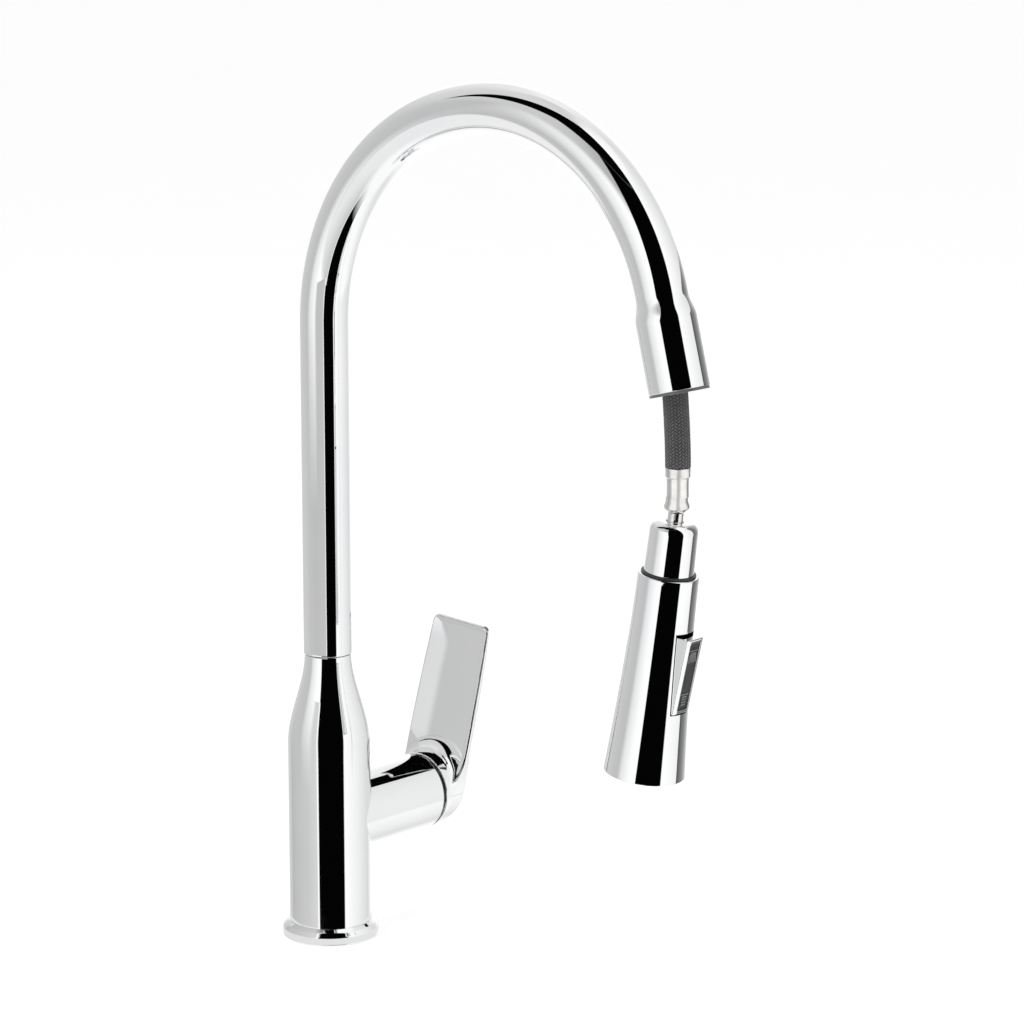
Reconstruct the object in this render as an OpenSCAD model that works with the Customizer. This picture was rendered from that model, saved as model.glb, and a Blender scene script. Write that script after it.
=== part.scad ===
// Pull down kitchen faucet: single lever body, swivelling gooseneck spout and pull-out spray head.
// Origin: centre of the foot on the deck. +X: the way the spout points. +Y: the handle side.

/* [Body] */
// Outer radius of the body cylinder
body_r = 23.9; // [23.5:0.1:24.5]
// Height of the straight part of the body
body_straight_h = 115; // [110:1:118]
// Height of the seam between body and spout
seam_h = 167.5; // [165:0.5:170]
// Outer radius of the foot ring
ring_r = 27.9; // [27:0.1:30]

/* [Handle boss] */
// Height of the boss axis above the deck
boss_h = 69.3; // [68:0.1:71]
// Outer radius of the boss
boss_r = 22.8; // [22.5:0.1:23]
// Distance from the body axis to the end of the boss
boss_end = 74.5; // [74:0.1:75]

/* [Lever] */
// Height of the top of the lever above the deck
lever_top_h = 168; // [150:1:175]
// Half of the lever's width at its top
lever_half_w = 22.2; // [20:0.1:23]
// Half of the lever's width just above the hub
lever_wide_half_w = 24.2; // [23:0.1:25]

/* [Spout] */
// Outer radius of the spout tube
tube_r = 14; // [14:0.1:14.3]
// Wall of the spout tube
tube_wall = 1.5; // [1.2:0.1:1.6]
// Height at which the riser starts to bend
bend_start_h = 359; // [330:1:380]
// Radius of the rising quarter of the gooseneck
rise_bend_r = 127; // [126:0.5:128]
// Radius of the falling part of the gooseneck
fall_bend_r = 119; // [118:0.5:120]
// Outer radius of the docking collar
collar_r = 16.3; // [16:0.1:16.6]

/* [Spray head] */
// Radius of the shell under the neck
shell_top_r = 16.4; // [16:0.1:16.6]
// Radius of the shell at the spray face
shell_bottom_r = 22.1; // [21.5:0.1:23]
// Radius of the braided hose
hose_r = 6.9; // [6.5:0.1:7]

/* [Hidden] */
$fn = 96;

chrome = "lightgray";
plastic = "dimgray";

// Body and foot
ring_side_h = 4.2;
ring_top_h = 8.8;
gasket_h = 1.0;
gasket_inset = 1.1;
ring_skirt = 0.9;
ring_foot_h = 0.2;
neck_r = 13.6;
neck_bore_r = 12.25;
hose_bore_r = 9.5;
spigot_r = 11;
spigot_bottom = 128;
foot_cavity_r = 21.2;
foot_cavity_top = 40;
plug_bottom = 2;
plug_top = 14;
port_circle_r = 14.8;
inlet_r = 4.5;
stud_hole_r = 3.4;
outlet_r = 4.5;
guide_r = 9;
retainer_h = 141;
retainer_r = 2.5;
bush_l = 8;
seal_heights = [147, 158];
seal_l = 2.4;
tube_sleeve_l = 20;

// Handle boss and cartridge, measured along +Y from the body axis
housing_start = 32;
housing_end = 61;
housing_r = 17.5;
housing_neck_r = 14;
housing_neck_end = 67;
seat_r = 17.55;
nut_bore_r = 19.8;
nut_end = 67.5;
pivot_y = 58;
cavity_start = 38;
cavity_r = 12.6;
rotor_r = 12.55;
rotor_start = 46.1;
rotor_end = 65.5;
cavity_mouth_r = 11.4;
disc_h = 3.9;
port_angles = [30, 150, 270];
port_ring_r = 8;
port_r = 2.6;
port_seal_r = 3.6;
disc_pocket_r = 5.6;
slot_half_h = 9.5;
pin_r = 1.48;
pin_half_l = 11.8;
stem_tip_r = 2.4;
stem_half_w = 4;
stem_back = 5;
stem_front = 31;
stem_tip_back = 13.4;
disc_offset = 2.75;
disc_moving_r = 8.6;
gap_ring_r = 21.5;
gap_ring_end = 76.7;
gap_ring_in_r = 18.4;
hub_start = 77.1;
relief_r = 28.9;

// Lever: the plate leans out by lever_lean per millimetre of height
lever_lean = 0.305;
lever_ref_h = 88;
lever_in_y = 91;
lever_corner_r = 4;
lever_wide_h = 94;
// Outside of the hub, from below up, as [y, z]
hub_profile = [[82, 49.5], [86.6, 54.4], [90.2, 60.6], [92.6, 67.4], [94.1, 74]];
// Outside of the plate as [height, thickness]
plate_out_profile = [[84, 4.1], [110, 4.4], [140, 3.9]];
plate_top_thick = 2.8;
// Fillet between the plate and the hub as [height, how far it comes in from the plate]
plate_fillet_profile = [[112, 0], [105, 0.5], [100, 1.7], [96.5, 3.9], [94, 6.8]];
plate_fillet_end_y = 81;
screw_y = 84;
screw_r = 2;
screw_head = 12;
cap_r = 3.05;
cap_seat = 5.5;
cap_start = 21.6;
neck_clear_r = 7.6;

// Gooseneck: two arcs in the XZ plane, then the straight collar
tube_in_r = tube_r - tube_wall;
apex_h = bend_start_h + rise_bend_r;
fall_centre_h = apex_h - fall_bend_r;
mouth_angle = 14;
fall_end_x = rise_bend_r + fall_bend_r * cos(mouth_angle);
fall_end_z = fall_centre_h + fall_bend_r * sin(mouth_angle);
collar_l = 51;
collar_bore_r = 15.1;
collar_spigot_l = 4;
collar_spigot_gap = 0.12;
collar_lip = 1.3;
collar_step_start = 2;
collar_step_l = 12;
insert_bore_r = 14.5;
insert_l = 34;
insert_lip_r = 15.9;
insert_lip_h = 1.5;

// Hose: two arcs inside the spout, then a gentle curve to the ferrule
hose_fall_r = 122.4;
hose_fall_centre_h = apex_h - hose_fall_r;
hose_split_angle = 22;
hose_split_gap = 0.03;
hose_lean = 12.5;
hose_top = [rise_bend_r + hose_fall_r * cos(mouth_angle), 0,
            hose_fall_centre_h + hose_fall_r * sin(mouth_angle)];
hose_lean_in = hose_top + hose_lean * [sin(mouth_angle), 0, -cos(mouth_angle)];
hose_lean_out = [254.4, 0, 330];
ferrule_top = [254.4, 0, 306];
hose_arc_rings = 4;
hose_rings = 24;
hose_sides = 12;

// Hose end fittings: radii and heights of the ferrule, its sleeve and the ball nut
ferrule_r = 6.75;
ferrule_low_h = 300.9;
sleeve_r = 6.0;
sleeve_low_h = 290.3;
nut_x = 253.9;
nut_top_h = 290.28;
nut_low_h = 283;
nut_r = 6.85;
nut_shoulder = 2.2;
nut_foot = 1.4;
nut_top_r = 5.95;
nut_low_r = 5.4;

// Spray head: local frame with its origin at the top of the neck and +Z back along the axis
head_origin = [252.8, 0, 277.2];
head_tilt = 7.9;
neck_l = 27;
neck_top_r = 12.9;
neck_low_r = 13.4;
neck_round_r = 5;
neck_wall = 1.6;
groove_r = 15.4;
groove_h = 1.5;
shell_start = 28.6;
shell_l = 111.4;
shell_flare = 1.6;
shell_wall = 1.8;
shell_steps = 16;
stem_r = 4.15;
stem_out = 5;
stem_flange_r = 8;

// Rocker on the front of the shell, in the head's local frame
rocker_top = -58.6;
rocker_bottom = -101;
rocker_mid = (rocker_top + rocker_bottom) / 2;
rocker_half_w = 7;
rocker_front_top = 23.4;
rocker_front_low = 19.9;
rocker_pivot_x = 15;
rocker_pivot_r = 1.25;
pad_half_w = 3.6;
pad_inset = 6.5;
pad_pitch = 2.6;
pad_bar = 1.2;
core_r = 10;
core_bore_r = 6.2;
core_bottom = -126;
core_flange_r = 18.4;
core_neck_r = 11.1;
core_top = 11;
valve_r = 6.15;
valve_bore_r = 2.6;
valve_start = -27;
valve_l = 12;
spool_r = 6.1;
spool_waist_r = 3;
spool_half_l = 7;
spool_land = 3;
port_to_spool_r = 2.4;
ear_gap = 4.4;
ear_tip_x = 16.8;
plate_gap = 0.5;

// Spray face
face_z = -shell_start - shell_l;
aerator_r = 9;
nozzle_r = 0.7;
nozzle_ring_r = 12.5;
nozzle_ring_step = 4.2;

// ---------- helpers ----------
module along_boss(y) translate([0, y, boss_h]) rotate([-90, 0, 0]) children();

module at_arc_end() translate([fall_end_x, 0, fall_end_z]) rotate([0, 180 - mouth_angle, 0]) children();

module in_head() translate(head_origin) rotate([0, head_tilt, 0]) children();

// Ring with its foot at z = 0
module ring_of(outer, inner, h) difference() {
    cylinder(r = outer, h = h);
    translate([0, 0, -1]) cylinder(r = inner, h = h + 2);
}

// Solid sweep of a disc of radius r along the riser and the gooseneck
module gooseneck(r, low, fall_r, fall_h, stop = mouth_angle) {
    translate([0, 0, low]) cylinder(r = r, h = bend_start_h - low);
    translate([rise_bend_r, 0, bend_start_h]) rotate([90, 0, 0])
        rotate_extrude(angle = 90, start = 90) translate([rise_bend_r, 0]) circle(r = r);
    translate([rise_bend_r, 0, fall_h]) rotate([90, 0, 0])
        rotate_extrude(angle = 90 - stop, start = stop)
            translate([fall_r, 0]) circle(r = r);
}

// Smooth step from 0 to 1
function ease(t) = t * t * (3 - 2 * t);

// Radius of the spray shell at a share t of its length
function shell_radius(t) = shell_top_r + (shell_bottom_r - shell_top_r) * pow(t, shell_flare);

// Points of one wall of the shell, from its top down, set in by inset
function shell_wall_points(inset, t0, t1) =
    [for (i = [0 : shell_steps]) let (t = t0 + (t1 - t0) * i / shell_steps)
        [shell_radius(t) - inset, -shell_start - shell_l * t]];

// Point and direction on the arc of the hose, at an angle above the level of the bend's centre
function hose_arc_point(a) =
    [rise_bend_r + hose_fall_r * cos(a), 0, hose_fall_centre_h + hose_fall_r * sin(a)];

function hose_arc_slope(a) = [sin(a), 0, -cos(a)];

// Cubic curve through the exposed hose
function hose_point(t) = pow(1 - t, 3) * hose_top + 3 * pow(1 - t, 2) * t * hose_lean_in
    + 3 * (1 - t) * t * t * hose_lean_out + pow(t, 3) * ferrule_top;

function hose_slope(t) = 3 * pow(1 - t, 2) * (hose_lean_in - hose_top)
    + 6 * (1 - t) * t * (hose_lean_out - hose_lean_in) + 3 * t * t * (ferrule_top - hose_lean_out);

// ---------- foot and body ----------
module base_gasket() color("black") ring_of(ring_r - gasket_inset, foot_cavity_r + 0.1, gasket_h);

// The ring's skirt hides the edge of the gasket
module base_ring() color(chrome) rotate_extrude() polygon([
    [body_r + 0.05, gasket_h], [ring_r - ring_skirt, gasket_h], [ring_r - ring_skirt, ring_foot_h],
    [ring_r, ring_foot_h], [ring_r, ring_side_h], [ring_r - 0.3, ring_side_h + 0.8],
    [ring_r - 1, ring_side_h + 1.4],
    [body_r + 0.3, ring_top_h], [body_r + 0.05, ring_top_h]]);

module body_outline() rotate_extrude() polygon(concat(
    [[0, gasket_h], [body_r, gasket_h]],
    [for (i = [0 : 14]) let (t = i / 14)
        [body_r - (body_r - neck_r) * ease(t), body_straight_h + (seam_h - body_straight_h) * t]],
    [[0, seam_h]]));

module body_shell() color(chrome) difference() {
    union() {
        body_outline();
        along_boss(0) cylinder(r = boss_r, h = boss_end);
    }
    translate([0, 0, -1]) cylinder(r = hose_bore_r, h = seam_h + 2);
    translate([0, 0, -1]) cylinder(r = foot_cavity_r, h = foot_cavity_top + 1);
    translate([0, 0, spigot_bottom - 1]) cylinder(r = neck_bore_r, h = seam_h);
    along_boss(housing_start) cylinder(r = seat_r, h = boss_end);
    along_boss(housing_end) cylinder(r = nut_bore_r, h = boss_end);
    translate([0, 0, retainer_h]) rotate([0, -90, 0]) cylinder(r = retainer_r, h = 2 * body_r);
}

module foot_plug() color("goldenrod") difference() {
    translate([0, 0, plug_bottom]) cylinder(r = foot_cavity_r - 0.05, h = plug_top - plug_bottom);
    cylinder(r = guide_r, h = seam_h);
    for (side = [-1, 1])
        translate([0, side * port_circle_r, 0]) cylinder(r = inlet_r, h = seam_h);
    translate([-port_circle_r, 0, 0]) cylinder(r = stud_hole_r, h = seam_h);
    translate([port_circle_r, 0, 0]) cylinder(r = outlet_r, h = seam_h);
}

module hose_guide() color("white") translate([0, 0, plug_bottom])
    ring_of(guide_r - 0.05, hose_r + 0.35, plug_top - plug_bottom + 2);

// ---------- cartridge ----------
module cartridge_housing() color("white") difference() {
    union() {
        along_boss(housing_start + 0.5)
            cylinder(r = housing_r, h = housing_end - housing_start - 0.5);
        along_boss(housing_start + 1)
            cylinder(r = housing_neck_r, h = housing_neck_end - housing_start - 1);
    }
    along_boss(cavity_start) cylinder(r = cavity_r, h = rotor_end + 0.1 - cavity_start);
    along_boss(cavity_start) cylinder(r = cavity_mouth_r, h = boss_end);
    for (a = port_angles)
        along_boss(housing_start) rotate([0, 0, a]) translate([port_ring_r, 0, -1])
            cylinder(r = port_r, h = cavity_start - housing_start + 2);
}

module cartridge_seals() color("black") for (a = port_angles)
    along_boss(housing_start + 0.05) rotate([0, 0, a]) translate([port_ring_r, 0, 0])
        ring_of(port_seal_r, port_r, 0.4);

module fixed_disc() color("ivory") difference() {
    along_boss(cavity_start + 0.02) cylinder(r = cavity_r - 0.05, h = disc_h);
    for (a = port_angles)
        along_boss(cavity_start - 1) rotate([0, 0, a]) translate([port_ring_r, 0, 0])
            cylinder(r = port_r, h = disc_h + 2);
}

module moving_disc() color("ivory") difference() {
    translate([0, 0, -disc_offset]) along_boss(cavity_start + disc_h + 0.1)
        cylinder(r = disc_moving_r, h = disc_h);
    translate([0, 0, -disc_offset]) along_boss(cavity_start + disc_h + 1)
        cylinder(r = disc_pocket_r, h = disc_h);
}

module cartridge_rotor() color("whitesmoke") difference() {
    along_boss(rotor_start) cylinder(r = rotor_r, h = rotor_end - rotor_start);
    translate([-stem_half_w - 0.4, rotor_start - 1, boss_h - slot_half_h])
        cube([2 * stem_half_w + 0.8, rotor_end - rotor_start + 2, 2 * slot_half_h]);
    translate([-rotor_r - 1, pivot_y, boss_h]) rotate([0, 90, 0])
        cylinder(r = pin_r + 0.02, h = 2 * rotor_r + 2);
}

module rotor_pin() color("silver") translate([-pin_half_l, pivot_y, boss_h]) rotate([0, 90, 0])
    cylinder(r = pin_r, h = 2 * pin_half_l);

module cartridge_stem() color("silver") difference() {
    union() {
        translate([-stem_half_w, pivot_y - stem_back, boss_h - stem_half_w])
            cube([2 * stem_half_w, stem_back + stem_front, 2 * stem_half_w]);
        along_boss(pivot_y - stem_tip_back) cylinder(r = stem_tip_r, h = stem_tip_back - 1.4);
    }
    translate([-2 * stem_half_w, pivot_y, boss_h]) rotate([0, 90, 0])
        cylinder(r = pin_r + 0.05, h = 4 * stem_half_w);
}

module cartridge_nut() color("goldenrod") along_boss(housing_end + 0.05)
    ring_of(nut_bore_r - 0.05, housing_neck_r + 0.1, nut_end - housing_end);

module boss_gap_ring() color("black") difference() {
    union() {
        along_boss(nut_end + 0.2) cylinder(r = nut_bore_r - 0.1, h = boss_end - nut_end);
        along_boss(boss_end + 0.02) cylinder(r = gap_ring_r, h = gap_ring_end - boss_end);
    }
    along_boss(nut_end - 1) cylinder(r = gap_ring_in_r, h = 20);
}

// ---------- lever ----------
function plate_in(z) = lever_in_y + lever_lean * (z - lever_ref_h);

// Hub from below, then up the outside of the plate and down its inside
module lever_side_outline() polygon(concat(
    [[hub_start, boss_h - boss_r - 1]], hub_profile,
    [for (p = plate_out_profile) [plate_in(p[0]) + p[1], p[0]]],
    [[plate_in(lever_top_h) + plate_top_thick, lever_top_h], [plate_in(lever_top_h), lever_top_h]],
    [for (p = plate_fillet_profile) [plate_in(p[0]) - p[1], p[0]]],
    [[plate_fillet_end_y, boss_h + boss_r + 0.3], [hub_start, boss_h + boss_r + 0.3]]));

module lever_front_outline() {
    circle(r = boss_r);
    difference() {
        polygon([[-boss_r + 0.3, 0], [boss_r - 0.3, 0], [lever_wide_half_w, lever_wide_h - boss_h],
                 [lever_half_w, lever_top_h - boss_h], [-lever_half_w, lever_top_h - boss_h],
                 [-lever_wide_half_w, lever_wide_h - boss_h]]);
        for (side = [-1, 1])
            translate([side * lever_half_w, lever_top_h - boss_h]) difference() {
                square(2 * lever_corner_r, center = true);
                translate([-side * lever_corner_r, -lever_corner_r]) circle(r = lever_corner_r);
            }
    }
}

module handle_lever() color(chrome) difference() {
    intersection() {
        translate([-lever_wide_half_w - 1, 0, 0]) rotate([90, 0, 90])
            linear_extrude(2 * lever_wide_half_w + 2) lever_side_outline();
        translate([0, 130, boss_h]) rotate([90, 0, 0]) linear_extrude(60) lever_front_outline();
    }
    difference() {
        translate([0, pivot_y, boss_h]) sphere(r = relief_r);
        along_boss(pivot_y + 21) cylinder(r = neck_clear_r, h = 20);
    }
    translate([-stem_half_w - 0.05, pivot_y, boss_h - stem_half_w - 0.05])
        cube([2 * stem_half_w + 0.1, stem_front + 0.2, 2 * stem_half_w + 0.1]);
    translate([-boss_r - 2, screw_y, boss_h]) rotate([0, 90, 0]) {
        cylinder(r = screw_r + 0.05, h = boss_r);
        cylinder(r = cap_r + 0.05, h = cap_seat);
    }
}

module handle_set_screw() color("dimgray") translate([-screw_head, screw_y, boss_h]) rotate([0, 90, 0])
    cylinder(r = screw_r, h = screw_head - stem_half_w - 0.05);

module screw_cap() color("gray") translate([-cap_start, screw_y, boss_h]) rotate([0, 90, 0])
    cylinder(r = cap_r, h = 2.2);

// ---------- spout ----------
module swivel_bush() color("white") translate([0, 0, spigot_bottom])
    ring_of(neck_bore_r - 0.05, spigot_r + 0.05, bush_l);

module spout_seals() color("black") for (z = seal_heights)
    translate([0, 0, z]) ring_of(neck_bore_r - 0.04, spigot_r - 0.75, seal_l);

module spout_screw() color("dimgray") translate([-10.3, 0, retainer_h]) rotate([0, -90, 0])
    cylinder(r = retainer_r - 0.05, h = 7.4);

module spout_tube() color(chrome) difference() {
    union() {
        gooseneck(tube_r, seam_h + 0.3, fall_bend_r, fall_centre_h);
        translate([0, 0, spigot_bottom])
            cylinder(r = spigot_r, h = seam_h + tube_sleeve_l - spigot_bottom);
    }
    gooseneck(tube_in_r, seam_h + tube_sleeve_l, fall_bend_r, fall_centre_h);
    translate([0, 0, spigot_bottom - 1]) cylinder(r = hose_r + 1.5, h = seam_h);
    for (z = seal_heights)
        translate([0, 0, z - 0.1]) ring_of(spigot_r + 1, spigot_r - 0.8, seal_l + 0.2);
    translate([0, 0, retainer_h - retainer_r - 0.1])
        ring_of(spigot_r + 1, spigot_r - 1.2, 2 * retainer_r + 0.2);
}

// Collar, drawn along its own axis from the end of the bend to the mouth
module collar_outline() polygon(concat(
    [[tube_in_r - collar_spigot_gap, -collar_spigot_l], [tube_in_r - collar_spigot_gap, 0.02],
     [tube_r, 0.02], [tube_r, collar_step_start]],
    [for (i = [1 : 8]) let (t = i / 8)
        [tube_r + (collar_r - tube_r) * ease(t), collar_step_start + collar_step_l * t]],
    [[collar_r, collar_l - 0.4], [collar_r - 0.4, collar_l], [collar_bore_r, collar_l],
     [collar_bore_r, collar_l - insert_l], [tube_in_r - collar_lip, collar_l - insert_l - 1],
     [tube_in_r - collar_lip, -collar_spigot_l]]));

module dock_collar() color(chrome) at_arc_end() rotate_extrude() collar_outline();

// Liner of the collar, with a lip under the chrome
module dock_insert() color("gray") at_arc_end() {
    translate([0, 0, collar_l - insert_l + 0.05])
        ring_of(collar_bore_r - 0.05, insert_bore_r, insert_l - 0.05 + insert_lip_h);
    translate([0, 0, collar_l + 0.02]) ring_of(insert_lip_r, insert_bore_r, insert_lip_h - 0.02);
}

// ---------- hose ----------
module hose_inner() color("dimgray")
    gooseneck(hose_r, 0, hose_fall_r, hose_fall_centre_h, hose_split_angle);

module hose_outer() color("dimgray") {
    start = hose_split_angle - hose_split_gap;
    stations = concat(
        [for (i = [0 : hose_arc_rings - 1]) let (a = start - (start - mouth_angle) * i / hose_arc_rings)
            [hose_arc_point(a), hose_arc_slope(a)]],
        [for (i = [0 : hose_rings]) [hose_point(i / hose_rings), hose_slope(i / hose_rings)]]);
    last = len(stations) - 1;
    rings = [for (q = stations) let (s = q[1] / norm(q[1]), side = [-s[2], 0, s[0]])
        [for (j = [0 : hose_sides - 1]) let (a = 360 * j / hose_sides)
            q[0] + hose_r * (cos(a) * side + sin(a) * [0, 1, 0])]];
    points = [for (r = rings) each r];
    walls = [for (i = [0 : last - 1]) for (j = [0 : hose_sides - 1])
        let (k = (j + 1) % hose_sides)
        [i * hose_sides + j, i * hose_sides + k, (i + 1) * hose_sides + k, (i + 1) * hose_sides + j]];
    caps = [[for (j = [hose_sides - 1 : -1 : 0]) j],
            [for (j = [0 : hose_sides - 1]) last * hose_sides + j]];
    polyhedron(points = points, faces = concat(walls, caps));
}

module hose_ferrule() color("silver") translate([ferrule_top[0], 0, 0]) rotate_extrude() polygon([
    [0, ferrule_top[2] - 0.02], [ferrule_r, ferrule_top[2] - 0.02], [ferrule_r, ferrule_low_h],
    [sleeve_r, ferrule_low_h - 0.5], [sleeve_r, sleeve_low_h], [0, sleeve_low_h]]);

module hose_swivel_nut() color("silver") translate([nut_x, 0, 0]) rotate_extrude() polygon([
    [0, nut_top_h], [nut_top_r, nut_top_h], [nut_top_r, nut_top_h - nut_shoulder],
    [nut_r, nut_top_h - 2 * nut_shoulder], [nut_r, nut_low_h + nut_foot],
    [nut_low_r, nut_low_h], [0, nut_low_h]]);

module hose_stem() color("silver") in_head() translate([0, 0, -core_top]) {
    cylinder(r = stem_r, h = core_top + stem_out);
    cylinder(r = stem_flange_r, h = 3.5);
}

// ---------- spray head ----------
module neck_cap() color(chrome) in_head() difference() {
    rotate_extrude() polygon(concat(
        [[stem_r + 0.4, 0], [neck_top_r - neck_round_r, 0]],
        [for (a = [15 : 15 : 90]) [neck_top_r - neck_round_r + neck_round_r * sin(a),
                                  -neck_round_r + neck_round_r * cos(a)]],
        [[neck_low_r, -neck_l], [neck_low_r - neck_wall, -neck_l],
         [neck_top_r - neck_wall, -neck_round_r - 1], [stem_r + 0.4, -neck_round_r - 1]]));
}

module neck_ring() color("black") in_head() translate([0, 0, -neck_l - groove_h])
    ring_of(groove_r, core_neck_r + 0.05, groove_h - 0.05);

module spray_shell() color(chrome) in_head() difference() {
    rotate_extrude() polygon(concat(
        [[core_r + 0.05, -shell_start], [shell_top_r - 0.4, -shell_start]],
        shell_wall_points(0, 0.004, 1),
        [[shell_bottom_r - shell_wall, -shell_start - shell_l]],
        [for (i = [shell_steps : -1 : 0]) let (t = 0.03 + 0.97 * i / shell_steps)
            [shell_radius(t) - shell_wall, -shell_start - shell_l * t]],
        [[core_r + 0.05, -shell_start - 3.3]]));
    translate([13.2, -rocker_half_w - 0.4, rocker_bottom - 0.5])
        cube([12, 2 * rocker_half_w + 0.8, rocker_top - rocker_bottom + 1]);
}

// Inner waterway: carries the neck, the shell and the spray face
module water_core() color("dimgray") in_head() difference() {
    union() {
        translate([0, 0, core_bottom]) cylinder(r = core_r, h = -core_top - 1 - core_bottom);
        translate([0, 0, -shell_start]) cylinder(r = core_neck_r, h = shell_start - core_top - 0.05);
        translate([0, 0, core_bottom - 1]) cylinder(r = core_flange_r, h = 4);
        for (side = [-1, 1])
            translate([6, side * ear_gap - 1, rocker_mid - 4]) cube([ear_tip_x - 6, 2, 8]);
    }
    translate([0, 0, core_bottom + 8]) cylinder(r = core_bore_r, h = 120);
    translate([0, 0, rocker_mid]) rotate([0, 90, 0]) cylinder(r = port_to_spool_r, h = 2 * core_r);
    translate([rocker_pivot_x, -8, rocker_mid]) rotate([-90, 0, 0])
        cylinder(r = rocker_pivot_r + 0.03, h = 16);
}

module check_valve() color("steelblue") in_head() translate([0, 0, valve_start])
    ring_of(valve_r, valve_bore_r, valve_l);

module diverter_spool() color("whitesmoke") in_head() {
    translate([0, 0, rocker_mid - spool_half_l]) cylinder(r = spool_r, h = spool_land);
    translate([0, 0, rocker_mid - spool_half_l]) cylinder(r = spool_waist_r, h = 2 * spool_half_l);
    translate([0, 0, rocker_mid + spool_half_l - spool_land]) cylinder(r = spool_r, h = spool_land);
}

// ---------- rocker ----------
module rocker_side_outline() polygon([
    [14, rocker_top], [rocker_front_top - 0.8, rocker_top], [rocker_front_top, rocker_top - 0.8],
    [rocker_front_low, rocker_bottom + 0.8], [rocker_front_low - 0.8, rocker_bottom],
    [15.2, rocker_bottom]]);

// Slab that follows the rocker's sloping front, from depth back to front_gap under its face
module rocker_slab(half_w, top, bottom, back, front) {
    slope = (rocker_front_top - rocker_front_low) / (rocker_top - rocker_bottom);
    front_at = function (z) rocker_front_low + slope * (z - rocker_bottom);
    translate([0, half_w, 0]) rotate([90, 0, 0]) linear_extrude(2 * half_w) polygon([
        [front_at(top) - back, top], [front_at(top) - front, top],
        [front_at(bottom) - front, bottom], [front_at(bottom) - back, bottom]]);
}

module rocker_frame() color(chrome) in_head() difference() {
    translate([0, rocker_half_w, 0]) rotate([90, 0, 0]) linear_extrude(2 * rocker_half_w)
        rocker_side_outline();
    rocker_slab(rocker_half_w - 1.6, rocker_top - 2, rocker_bottom + 2, 2, -1);
    translate([13, -rocker_half_w + 1.5, rocker_mid - 5]) cube([5, 2 * rocker_half_w - 3, 10]);
    translate([rocker_pivot_x, -8, rocker_mid]) rotate([-90, 0, 0])
        cylinder(r = rocker_pivot_r + 0.03, h = 16);
}

module rocker_pin() color("silver") in_head() translate([rocker_pivot_x, -6.8, rocker_mid])
    rotate([-90, 0, 0]) cylinder(r = rocker_pivot_r, h = 13.6);

module rocker_insert() color(plastic) in_head()
    rocker_slab(rocker_half_w - 1.65, rocker_top - 2.05, rocker_bottom + 2.05, 1.95, 0.7);

module rocker_pads() color(plastic) in_head() {
    starts = [rocker_top - pad_inset, rocker_bottom + pad_inset + 2 * pad_pitch + pad_bar];
    for (i = [0 : 2], start = starts) {
        top = start - pad_pitch * i;
        rocker_slab(pad_half_w, top, top - pad_bar, 0.68, 0.2);
    }
}

// ---------- spray face ----------
function nozzle_places() = [for (ring = [0 : 1]) each
    [for (i = [0 : 17 + 6 * ring])
        let (a = 360 * i / (18 + 6 * ring), r = nozzle_ring_r + nozzle_ring_step * ring)
        [r * cos(a), r * sin(a), face_z]]];

module spray_plate() color("gray") in_head() difference() {
    translate([0, 0, face_z + 0.6]) cylinder(r = shell_bottom_r - shell_wall - plate_gap, h = 4);
    translate([0, 0, face_z]) cylinder(r = aerator_r + 0.05, h = 6);
    for (p = nozzle_places()) translate(p) cylinder(r = nozzle_r + 0.05, h = 6);
}

module spray_nozzles() color("black") in_head() for (p = nozzle_places())
    translate(p + [0, 0, 0.1]) cylinder(r = nozzle_r, h = 4.4);

module aerator() color("white") in_head() translate([0, 0, face_z + 1]) difference() {
    cylinder(r = aerator_r, h = 8);
    for (x = [-6 : 2 : 6], y = [-6 : 2 : 6])
        if (norm([x, y]) < aerator_r - 1.4) translate([x, y, -1]) cylinder(r = 0.6, h = 5);
}

base_gasket();
base_ring();
body_shell();
foot_plug();
hose_guide();
cartridge_housing();
cartridge_seals();
fixed_disc();
moving_disc();
cartridge_rotor();
rotor_pin();
cartridge_stem();
cartridge_nut();
boss_gap_ring();
handle_lever();
handle_set_screw();
screw_cap();
swivel_bush();
spout_seals();
spout_screw();
spout_tube();
dock_collar();
dock_insert();
hose_inner();
hose_outer();
hose_ferrule();
hose_swivel_nut();
hose_stem();
neck_cap();
neck_ring();
spray_shell();
water_core();
check_valve();
diverter_spool();
rocker_pin();
rocker_frame();
rocker_insert();
rocker_pads();
spray_plate();
spray_nozzles();
aerator();
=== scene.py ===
import math

import bmesh
import bpy
import numpy as np
from mathutils import Matrix, Vector


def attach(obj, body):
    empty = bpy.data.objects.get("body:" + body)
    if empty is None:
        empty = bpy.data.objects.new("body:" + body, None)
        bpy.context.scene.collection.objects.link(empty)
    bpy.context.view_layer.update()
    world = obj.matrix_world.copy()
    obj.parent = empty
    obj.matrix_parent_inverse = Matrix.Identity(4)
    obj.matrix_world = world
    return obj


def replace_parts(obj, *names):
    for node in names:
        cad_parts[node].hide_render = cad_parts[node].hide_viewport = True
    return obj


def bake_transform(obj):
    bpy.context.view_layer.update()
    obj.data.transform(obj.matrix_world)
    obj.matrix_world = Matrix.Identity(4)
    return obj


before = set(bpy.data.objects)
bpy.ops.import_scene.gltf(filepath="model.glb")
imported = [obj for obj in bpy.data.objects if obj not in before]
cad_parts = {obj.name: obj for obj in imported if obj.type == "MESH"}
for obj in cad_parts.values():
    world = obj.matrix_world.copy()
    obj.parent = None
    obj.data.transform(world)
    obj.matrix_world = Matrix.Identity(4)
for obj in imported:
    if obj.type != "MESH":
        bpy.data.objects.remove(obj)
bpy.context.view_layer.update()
scene = bpy.context.scene
MM = 0.001

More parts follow.
